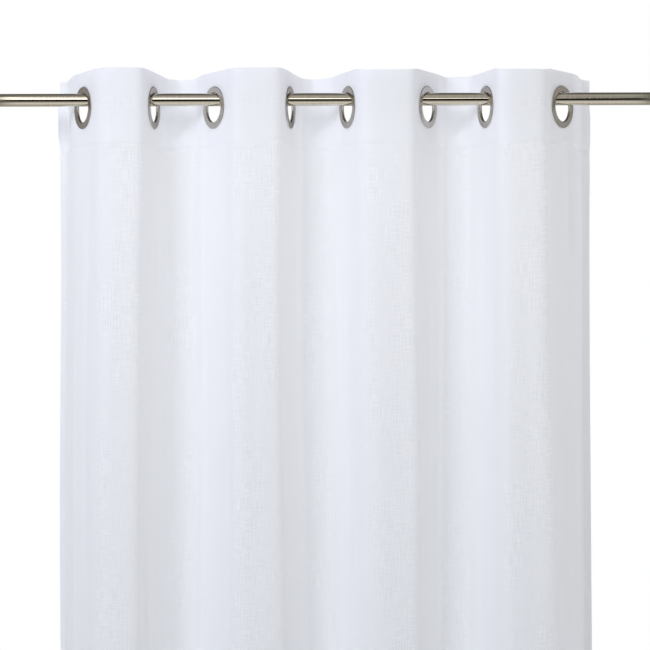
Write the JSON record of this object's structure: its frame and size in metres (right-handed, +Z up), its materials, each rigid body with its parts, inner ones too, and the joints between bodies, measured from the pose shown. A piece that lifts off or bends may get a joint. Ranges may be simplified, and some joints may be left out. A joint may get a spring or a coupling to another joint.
{
  "type": "sheer voile eyelet curtain with its rod",
  "caption": "Sheer voile curtain hanging in soft upright folds from metal eyelets threaded on a plain round rod.",
  "frame": {"origin": "centre of the rod's left end face", "axes": "+X along the rod to the right as seen from the front, +Z up, -Y towards the viewer"},
  "size_m": [1, 0.1542, 2.4046],
  "materials": {
    "voile": "white linen-look voile, open uneven plain weave, one layer, sheer and matt",
    "heading": "white stiff mesh strip behind the cloth, open, smooth and matt, which makes the heading nearly opaque",
    "eyelet_nickel": "satin nickel plating on pressed metal, slightly warm grey",
    "rod_steel": "satin brushed tube, fine marks round it, slightly warm grey"
  },
  "bodies": {
    "root": {"panel": "voile", "heading_band": "heading", "eyelet_1": "eyelet_nickel", "eyelet_2": "eyelet_nickel", "eyelet_3": "eyelet_nickel", "eyelet_4": "eyelet_nickel", "eyelet_5": "eyelet_nickel", "eyelet_6": "eyelet_nickel", "eyelet_7": "eyelet_nickel", "eyelet_8": "eyelet_nickel", "eyelet_back_1": "eyelet_nickel", "eyelet_back_2": "eyelet_nickel", "eyelet_back_3": "eyelet_nickel", "eyelet_back_4": "eyelet_nickel", "eyelet_back_5": "eyelet_nickel", "eyelet_back_6": "eyelet_nickel", "eyelet_back_7": "eyelet_nickel", "eyelet_back_8": "eyelet_nickel", "rod": "rod_steel"}
  },
  "joints": []
}
